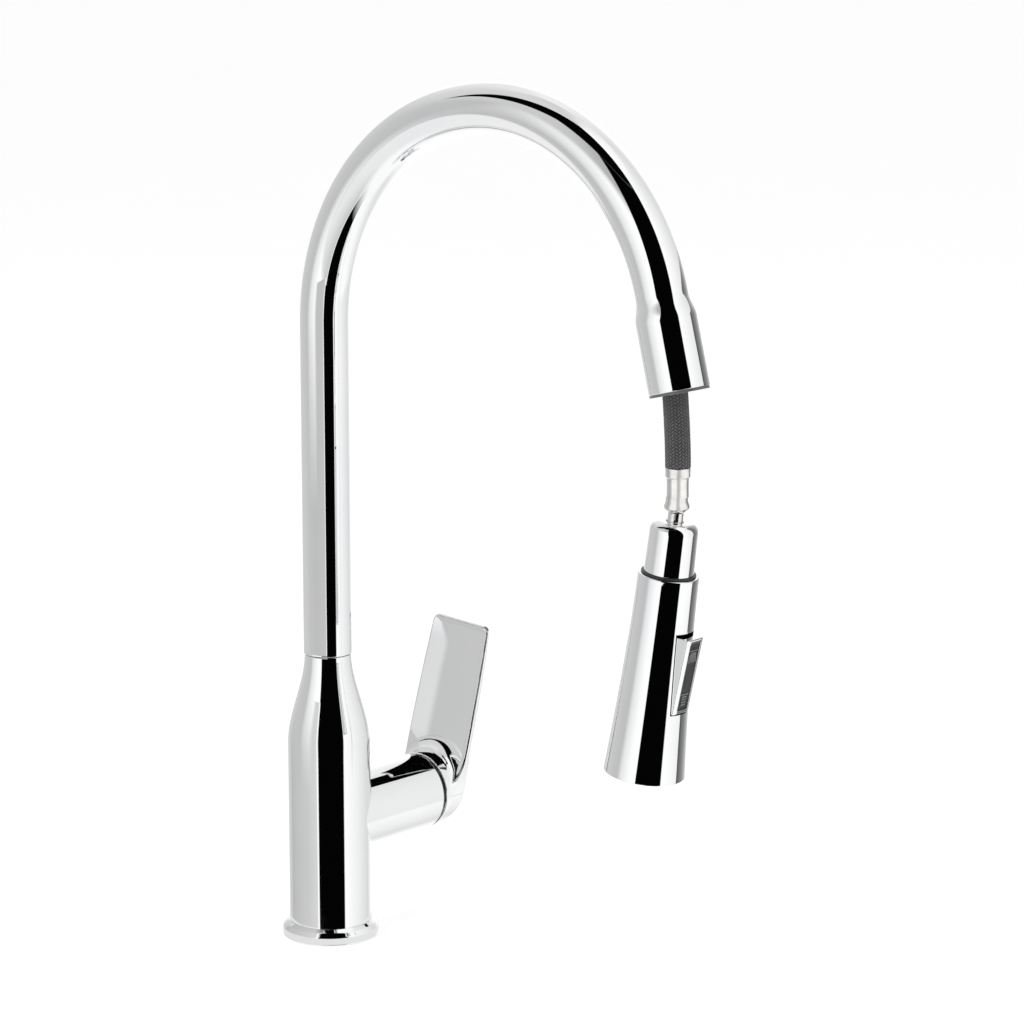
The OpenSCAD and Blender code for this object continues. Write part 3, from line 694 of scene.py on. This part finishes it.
# The window in the shell that the rocker sits in
cutter_mesh = bpy.data.meshes.new("window")
maker = bmesh.new()
bmesh.ops.create_cube(maker, size=1.0)
for v in maker.verts:
    v.co = HEAD @ Vector((19.0 + 11 * v.co.x, 14.9 * v.co.y, -79.4 + 44.4 * v.co.z)) * MM
maker.to_mesh(cutter_mesh)
maker.free()
cutter = bpy.data.objects.new("window", cutter_mesh)
scene.collection.objects.link(cutter)
cut = shell.modifiers.new("window", "BOOLEAN")
cut.operation, cut.object, cut.solver = "DIFFERENCE", cutter, "EXACT"
view_graph = bpy.context.evaluated_depsgraph_get()
cut_mesh = bpy.data.meshes.new_from_object(shell.evaluated_get(view_graph))
shell.modifiers.clear()
shell.data = cut_mesh
shell.data.set_sharp_from_angle(angle=math.radians(28))
bpy.data.objects.remove(cutter)
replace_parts(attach(shell, "spray_head"), "spray_shell")

# ---------------------------------------------------------------- rocker, in the head's own axes
rocker_side = rounded(
    [(14.0, -58.6, 0.2), (15.2, -101.0, 0.2), (19.5, -101.0, 0.9), (23.4, -58.6, 0.9)], 5, 0.0,
)
SLOPE = 3.9 / 42.4
INSERT_Z = -79.8


def under_front(x, z):
    """Depth under the sloping front of the rocker."""
    return (19.5 + SLOPE * (z + 101) - x) / math.sqrt(1 + SLOPE**2)


def frame_field(x, y, z):
    """Frame with chamfered long edges and a pocket for the insert."""
    deep = under_front(x, z)
    solid = both(inside_of(rocker_side, x, z), np.abs(y) - 7.0, 0.45)
    solid = both(solid, (np.abs(y) - 4.7 - 2.4 * deep) * 0.385, 0.25)
    pocket = both(both(np.abs(y) - 4.2, np.abs(z - INSERT_Z) - 19.2, 0.9), deep - 2.0, 0.15)
    return both(solid, -pocket, 0.25)


frame_skin = surface(
    "rocker_frame_skin", frame_field, (13, -7.6, -102), (24.2, 7.8, -57.6), 0.26, chrome,
    HEAD,
)
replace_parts(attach(frame_skin, "rocker"), "rocker_frame")


def insert_field(x, y, z):
    """Plate with a shallow hollow for the finger."""
    deep = under_front(x, z)
    plate = both(both(np.abs(y) - 4.1, np.abs(z - INSERT_Z) - 19.1, 0.8), np.abs(deep - 1.35) - 0.62, 0.15)
    hollow = np.hypot(np.hypot(y, 0.12 * (z + 80.4)), deep + 9.4) - 9.95
    return both(plate, -hollow, 0.2)


insert_skin = surface(
    "rocker_insert_skin", insert_field, (15.5, -6, -100), (24.0, 6.2, -59.6), 0.22, insert_plastic,
    HEAD,
)
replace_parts(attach(insert_skin, "rocker"), "rocker_insert")


def bars_field(x, y, z):
    """Ribs of the two pads: a fan above, short bars below, and a line at the edge of each."""
    deep = under_front(x, z)
    fan = 1 - 0.09 * (z + 68.9)
    ribs = [both(np.abs(z + 65.0) - 0.32, np.abs(y) - 3.5, 0.2)]
    ribs.append(both(np.abs(z + 90.0) - 0.32, np.abs(y) - 3.0, 0.2))
    for s in (-2.5, -1.25, 0.0, 1.25, 2.5):
        ribs.append(both(np.abs(y - s * fan) - 0.32, np.abs(z + 68.9) - 2.9, 0.2))
    for s in (-2.25, -0.75, 0.75, 2.25):
        ribs.append(both(np.abs(z + 93.7 - s) - 0.42, np.abs(y) - 1.8, 0.2))
    return both(np.min(ribs, axis=0), np.abs(deep - 0.6) - 0.36, 0.15)


bars = surface(
    "rocker_bars_skin", bars_field, (16.5, -4.2, -97), (24.0, 4.4, -61), 0.16, pad_plastic,
    HEAD,
)
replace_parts(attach(bars, "rocker"), "rocker_pads")

# ---------------------------------------------------------------- hose fittings
ferrule = lathe(
    "ferrule_skin",
    [
        (0.4, 290.3, 0), (5.95, 290.3, 0.05), (5.8, 294.5, 1.5), (5.85, 299.0, 1.0), (6.0, 300.5, 0.6),
        (6.6, 300.9, 0.25), (6.75, 301.5, 0.3), (6.68, 302.6, 0.5), (6.75, 305.9, 0.45), (0.4, 305.9, 0),
    ],
    steel,
    Matrix.Translation((HOSE_X, 0, 0)),
    128,
)
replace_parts(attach(ferrule, "hose_end"), "hose_ferrule")
nut = lathe(
    "ball_nut_skin",
    [
        (0.4, 282.4, 0), (4.6, 282.4, 0.3), (4.8, 283.0, 0.2), (5.6, 283.1, 0.4), (6.75, 284.3, 0.8),
        (6.85, 285.6, 0.8), (6.3, 287.0, 1.0), (5.95, 288.0, 0.8), (5.9, 290.25, 0.05), (0.4, 290.25, 0),
    ],
    steel,
    Matrix.Translation((253.9, 0, 0)),
    128,
)
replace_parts(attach(nut, "hose_end"), "hose_swivel_nut")

# ---------------------------------------------------------------- braided hose
HOSE_ARC_R = 122.4
hose_centre_z = RISER_TOP + RISE_R - HOSE_ARC_R


def on_arc(a):
    """Place on the hose's own arc inside the gooseneck."""
    return np.array((RISE_R + HOSE_ARC_R * math.cos(a), 0, hose_centre_z + HOSE_ARC_R * math.sin(a)))


top = on_arc(MOUTH)
lean_in = top + 12.5 * np.array((math.sin(MOUTH), 0, -math.cos(MOUTH)))
lean_out, foot = np.array((HOSE_X, 0, 330.0)), np.array((HOSE_X, 0, 306.0))
path = [on_arc(a) for a in np.radians(np.linspace(21.9, 14, 30))[:-1]]
for t in np.linspace(0, 1, 160):
    near_top = (1 - t) ** 3 * top + 3 * (1 - t) ** 2 * t * lean_in
    path.append(near_top + 3 * (1 - t) * t * t * lean_out + t**3 * foot)
path = np.array(path)
run = np.concatenate([[0], np.cumsum(np.linalg.norm(np.diff(path, axis=0), axis=1))])
length = run[-1]


def on_line(s):
    """Point on the hose's centre line at distance s along it."""
    return np.stack([np.interp(np.clip(s, 0, length), run, path[:, k]) for k in range(3)], -1)


def on_hose(s, angle, radius):
    """Point at a radius and an angle round the centre line, at distance s along it."""
    s = np.clip(s, 0, length)
    centre, ahead, behind = on_line(s), on_line(s + 0.5), on_line(s - 0.5)
    d = (ahead - behind) / np.linalg.norm(ahead - behind, axis=-1, keepdims=True)
    side = np.stack([-d[..., 2], 0 * s, d[..., 0]], -1)
    across = np.array((0, 1.0, 0))
    return centre + radius[..., None] * (
        np.cos(angle)[..., None] * side + np.sin(angle)[..., None] * across
    )


# Strands each way, the length of one turn, and a strand's middle radius, half width and columns
CARRIERS = 24
PITCH = 42.0
STRAND_R = 6.6
STRAND_HALF_W = 0.53
COLUMNS = 6
strand_points, strand_faces, strand_uv, strand_shade_lift = [], [], [], []
steps_along = int(length / 0.62)
s_line = np.linspace(0, length, steps_along)
v_line = np.linspace(-1, 1, COLUMNS)
helix = math.atan(2 * math.pi * STRAND_R / PITCH)
offset = 0
for way in (1, -1):
    for k in range(CARRIERS):
        s, v = np.meshgrid(s_line, v_line, indexing="ij")
        crossing = 2 * CARRIERS * s / PITCH
        phase = 2 * k + crossing if way == 1 else 2 * k - crossing
        weave = way * np.clip(1.5 * np.cos(2 * math.pi * (phase - 0.5) / 4), -1, 1)
        radius = 6.34 + 0.24 * weave + 0.27 * (1 - v * v)
        angle = 2 * math.pi * k / CARRIERS + way * 2 * math.pi * s / PITCH
        angle += v * STRAND_HALF_W * math.cos(helix) / STRAND_R
        along = s - way * v * STRAND_HALF_W * math.sin(helix)
        strand_points.append(on_hose(along, angle, radius).reshape(-1, 3))
        i, j = np.meshgrid(np.arange(steps_along - 1), np.arange(COLUMNS - 1), indexing="ij")
        near, far = i * COLUMNS + j, (i + 1) * COLUMNS + j
        strand_faces.append(np.stack([near, far, far + 1, near + 1], -1).reshape(-1, 4) + offset)
        strand_uv.append(np.stack([s / 10 + k, v / 2 + 0.5], -1).reshape(-1, 2))
        # Painted shade: lift is 1 where the strand rides over, 0 where it dives under and lower at its
        # edges; it only darkens the yarn colour
        lift = (0.5 + 0.5 * weave) * (1 - 0.35 * v * v)
        strand_shade_lift.append(np.stack([lift, 0 * lift], -1).reshape(-1, 2))
        offset += s.size
# Core under the strands, made dark by painted shade: its lift is zero, so the yarn colour drops to 0.02
core_s = np.linspace(0, length, 60)
core_a = 2 * math.pi * np.arange(32) / 32
ss, aa = np.meshgrid(core_s, core_a, indexing="ij")
strand_points.append(on_hose(ss, aa, np.full(ss.shape, 6.28)).reshape(-1, 3))
strand_faces.append(grid_faces(60, 32, False)[:, ::-1] + offset)
strand_uv.append(np.zeros((ss.size, 2)))
strand_shade_lift.append(np.zeros((ss.size, 2)))
braid_faces = np.concatenate(strand_faces)
braid = build("braid_skin", np.concatenate(strand_points), braid_faces, yarn, sharp=0)
loops = np.empty(len(braid.data.loops), int)
braid.data.loops.foreach_get("vertex_index", loops)
for layer_name, values in (("strand", strand_uv), ("shade_lift", strand_shade_lift)):
    uv_layer = braid.data.uv_layers.new(name=layer_name)
    uv_layer.data.foreach_set("uv", np.concatenate(values)[loops].astype(np.float32).ravel())
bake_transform(braid)
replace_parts(braid, "hose_outer")

# ---------------------------------------------------------------- floor and light
floor_mesh = bpy.data.meshes.new("floor")
floor_mesh.from_pydata([(-25, -25, 0), (25, -25, 0), (25, 25, 0), (-25, 25, 0)], [], [(0, 1, 2, 3)])
floor_look, tree, bsdf, coords = material(
    "floor_look", Specular_IOR_Level=0.1, Emission_Color=(1, 1, 1, 1), Emission_Strength=0.4,
)
mottle = noise(tree, coords, 7.0, 6.0)
tree.links.new(
    ramp(tree, mottle, [(0.3, (0.955, 0.955, 0.957)), (0.7, (0.985, 0.985, 0.985))]),
    bsdf.inputs["Base Color"],
)
tree.links.new(span(tree, mottle, 0.3, 0.7, 0.7, 0.9), bsdf.inputs["Roughness"])
floor_mesh.materials.append(floor_look)
floor = bpy.data.objects.new("floor", floor_mesh)
scene.collection.objects.link(floor)
floor.visible_glossy = False

# The studio: bright walls with one tall black card, painted by direction
FRONT = (0.6539, -0.7566, 0.0)
RIGHT = (0.7566, 0.6539, 0.0)
GLOW = 1.07
BLACK = 0.001
world = bpy.data.worlds.new("studio")
scene.world = world
world.use_nodes = True
tree = world.node_tree
tree.nodes.clear()
way_out = add(tree, "ShaderNodeTexCoord").outputs["Generated"]
front_dot = dot_with(tree, way_out, FRONT)
right_dot = dot_with(tree, way_out, RIGHT)
round_angle = math_node(tree, "ARCTAN2", right_dot, front_dot)
place = span(tree, round_angle, -math.pi, math.pi, 0.0, 1.0)


def deg(a):
    """Place on a ramp round the room of an angle from the front, in degrees."""
    return 0.5 + a / 360


def sin_deg(a):
    return math.sin(math.radians(a))


def at_angle(a, radius=1.0):
    """Level place at an angle from the front, in radians."""
    x = radius * (FRONT[0] * math.cos(a) + RIGHT[0] * math.sin(a))
    y = radius * (FRONT[1] * math.cos(a) + RIGHT[1] * math.sin(a))
    return x, y


def blend_colours(tree, fac, a, b):
    """Mix of two colours; each is a grey value or another node's output."""
    mix = add(tree, "ShaderNodeMix", {}, data_type="RGBA")
    tree.links.new(fac, mix.inputs[0])
    for socket, value in ((6, a), (7, b)):
        if isinstance(value, bpy.types.NodeSocket):
            tree.links.new(value, mix.inputs[socket])
        else:
            mix.inputs[socket].default_value = (value, value, value, 1)
    return mix.outputs[2]


def layer(below, above, height, blur):
    """Switches from one band to the other where the sky direction rises past a height in degrees."""
    share = span(tree, sky_height, sin_deg(height - blur), sin_deg(height + blur), 0.0, 1.0)
    return blend_colours(tree, share, below, above)


sky_height = add(tree, "ShaderNodeSeparateXYZ", {0: way_out}).outputs["Z"]
# The left edge of the black card moves from -27 to -2 degrees as the view drops from -18 to -22.5
EDGE_SHIFT = 25 / 360
drop = span(tree, sky_height, sin_deg(-22.5), sin_deg(-18.0), 1.0, 0.0)
left_side = span(tree, place, deg(9.9), deg(10.1), 1.0, 0.0)
shift = math_node(tree, "MULTIPLY", math_node(tree, "MULTIPLY", drop, left_side), EDGE_SHIFT)
level_place = math_node(tree, "SUBTRACT", place, shift)
low_place = math_node(tree, "ADD", level_place, math_node(tree, "MULTIPLY", left_side, EDGE_SHIFT))
level_band = ramp(
    tree,
    level_place,
    [
        (deg(-165), 1.0), (deg(-150), 0.62), (deg(-120), 0.56), (deg(-84), 0.51), (deg(-71), 0.78),
        (deg(-46), 0.98), (deg(-27.6), 1.0), (deg(-26.8), BLACK), (deg(44), BLACK), (deg(45.2), 1.0),
        (deg(90), 0.85), (deg(135), 0.68), (deg(160), 1.0),
    ],
)
low_band = ramp(
    tree,
    low_place,
    [
        (deg(-165), 1.0), (deg(-120), 0.84), (deg(-50), 0.8), (deg(-6), 0.56), (deg(-3), 0.98),
        (deg(-2.2), 1.0), (deg(-1.6), BLACK), (deg(44), BLACK), (deg(45.2), 1.0), (deg(95), 0.95),
        (deg(140), 0.72), (deg(165), 1.0),
    ],
)
rising_band = ramp(
    tree,
    place,
    [
        (deg(-165), 0.8), (deg(-130), 0.66), (deg(-90), 0.6), (deg(-60), 0.56), (deg(-40), 0.46),
        (deg(-27.6), 0.44), (deg(-26.8), BLACK), (deg(44), BLACK), (deg(45.2), 1.0), (deg(90), 0.85),
        (deg(135), 0.7), (deg(165), 0.85),
    ],
)
top_band = ramp(
    tree, place,
    [
        (deg(-180), 0.62), (deg(-104), 0.68), (deg(-27), 0.5), (deg(44), 0.6), (deg(47), 1.0),
        (deg(120), 0.9), (deg(180), 0.62),
    ],
)
near_level = blend_colours(tree, drop, level_band, low_band)
sky = layer(layer(layer(0.95, near_level, -66, 8.0), rising_band, 28, 6.0), top_band, 60, 3.0)
# The black card overhead: its near edge is a slanted line, its left end a straight one
to_front = math_node(tree, "MULTIPLY_ADD", front_dot, 0.697, 0.74)
slant = math_node(tree, "ADD", to_front, math_node(tree, "MULTIPLY", right_dot, 0.0985))
edge_height = math_node(tree, "MINIMUM", slant, 0.848)
overhead = span(tree, math_node(tree, "SUBTRACT", sky_height, edge_height), -0.008, 0.008, 0.0, 1.0)
left_end = span(tree, place, deg(-105.5), deg(-103.5), 0.0, 1.0)
right_end = span(tree, place, deg(44), deg(47), 1.0, 0.0)
ends = math_node(tree, "MULTIPLY", left_end, right_end)
sky = blend_colours(tree, math_node(tree, "MULTIPLY", overhead, ends), sky, BLACK)
background = add(tree, "ShaderNodeBackground", {"Color": sky, "Strength": GLOW})
world_out = add(tree, "ShaderNodeOutputWorld")
tree.links.new(background.outputs[0], world_out.inputs["Surface"])


def flag(name, points, faces, stops, low_end, high_end, axis, fade=None, one_sided=False):
    """Card that only mirrors see. Its brightness runs along one direction, or round its own upright axis.

    fade = (low height, high height, angle): left of the angle the card thins out between the two heights.
    A one-sided card shows only its face.
    """
    mesh = bpy.data.meshes.new(name)
    mesh.from_pydata(points, [], faces)
    mesh.update()
    mat = bpy.data.materials.new(name + "_look")
    mat.use_nodes = True
    nodes = mat.node_tree
    nodes.nodes.clear()
    where = add(nodes, "ShaderNodeTexCoord").outputs["Object"]
    if axis is None:
        run_along = math_node(
            nodes, "ARCTAN2", dot_with(nodes, where, RIGHT), dot_with(nodes, where, FRONT),
        )
    else:
        run_along = dot_with(nodes, where, axis)
    shade = ramp(nodes, span(nodes, run_along, low_end, high_end, 0.0, 1.0), stops)
    glow = add(nodes, "ShaderNodeEmission", {"Color": shade, "Strength": GLOW})
    hidden = None
    if fade:
        height = add(nodes, "ShaderNodeSeparateXYZ", {0: where}).outputs["Z"]
        far_left = span(nodes, run_along, math.radians(fade[2]), math.radians(fade[2] + 8), 1.0, 0.0)
        hidden = math_node(nodes, "MULTIPLY", span(nodes, height, fade[0], fade[1], 0.0, 1.0), far_left)
    if one_sided:
        hidden = span(nodes, add(nodes, "ShaderNodeNewGeometry").outputs["Backfacing"], 0.0, 1.0, 1.0, 0.0)
    shown = glow
    if hidden is not None:
        clear = add(nodes, "ShaderNodeBsdfTransparent")
        shown = add(nodes, "ShaderNodeMixShader", {0: hidden, 1: glow.outputs[0], 2: clear.outputs[0]})
    out = add(nodes, "ShaderNodeOutputMaterial")
    nodes.links.new(shown.outputs[0], out.inputs["Surface"])
    mesh.materials.append(mat)
    card = bpy.data.objects.new(name, mesh)
    scene.collection.objects.link(card)
    card.visible_camera = False
    card.visible_diffuse = False
    card.visible_shadow = False
    card.visible_transmission = False
    return card


def curved_flag(name, radius, first, last, low_z, high_z, stops, fade=None, centre=0.0):
    """Upright card bent round an upright axis, between two angles measured from the front, in degrees."""
    count = 60
    points = []
    for i in range(count + 1):
        a = math.radians(first + (last - first) * i / count)
        x, y = at_angle(a, radius)
        points += [(x, y, low_z), (x, y, high_z)]
    faces = [(2 * i, 2 * i + 2, 2 * i + 3, 2 * i + 1) for i in range(count)]
    card = flag(name, points, faces, stops, math.radians(first), math.radians(last), None, fade)
    card.location.x = centre
    return card


curved_flag(
    "riser_flag", 0.036, -100, -0.2, 0.1635, 0.378,
    [(0.0, 0.6), (0.3, 0.53), (0.6, 0.505), (0.94, 0.53), (0.975, 0.56), (0.985, 1.0)], (0.25, 0.376, -36),
)
curved_flag(
    "body_flag", 0.0455, -100, -19.9, 0.002, 0.151,
    [(0.0, 0.47), (0.25, 0.52), (0.7, 0.58), (0.955, 0.66), (0.975, 1.0)], (0.085, 0.15, -40),
)
curved_flag(
    "ferrule_flag", 0.0098, -80, 80, 0.2802, 0.307,
    [
        (0.0, 0.4), (0.14, 0.5), (0.24, 1.0), (0.42, 1.0), (0.5, 0.5), (0.57, 0.62), (0.64, 1.0),
        (0.84, 1.0), (1.0, 0.6),
    ],
    centre=0.2542,
)
along = (*at_angle(math.radians(68)), 0.0)
near_end, far_end = 0.25, 0.376
flag(
    "head_flag",
    [
        (along[0] * d, along[1] * d, z)
        for d, z in ((near_end, 0.03), (far_end, 0.03), (far_end, 0.43), (near_end, 0.43))
    ],
    [(0, 1, 2, 3)],
    [(0.0, 0.6), (0.35, 0.25), (0.8, 0.12), (1.0, 0.05)],
    near_end,
    far_end,
    along,
)
flag(
    "boss_flag",
    [(-0.01, 0.12, 0.2123), (0.056, 0.12, 0.2123), (0.056, 0.27, 0.186), (-0.01, 0.27, 0.186)],
    [(0, 1, 2, 3)],
    [(0.0, BLACK), (1.0, BLACK)],
    0.0,
    1.0,
    (0.0, 1.0, 0.0),
    one_sided=True,
)
# Flat ring on the floor round the foot
RIM_STEPS = 64
rim, rim_faces = [], []
for r in (0.0285, 0.0495):
    for i in range(RIM_STEPS):
        a = 2 * math.pi * i / RIM_STEPS
        rim.append((r * math.cos(a), r * math.sin(a), 0.0004))
for i in range(RIM_STEPS):
    after = (i + 1) % RIM_STEPS
    rim_faces.append((i, after, RIM_STEPS + after, RIM_STEPS + i))
flag("foot_flag", rim, rim_faces, [(0.0, 0.72), (1.0, 0.78)], -0.05, 0.05, RIGHT)

softbox = bpy.data.lights.new("softbox", "AREA")
softbox.energy = 14
softbox.size = 1.6
softbox_object = bpy.data.objects.new("softbox", softbox)
scene.collection.objects.link(softbox_object)
softbox_object.location = (-0.3, -0.8, 2.0)
softbox_aim = Vector((0.12, 0, 0.25)) - softbox_object.location
softbox_object.rotation_euler = softbox_aim.to_track_quat("-Z", "Y").to_euler()
softbox_object.visible_glossy = False
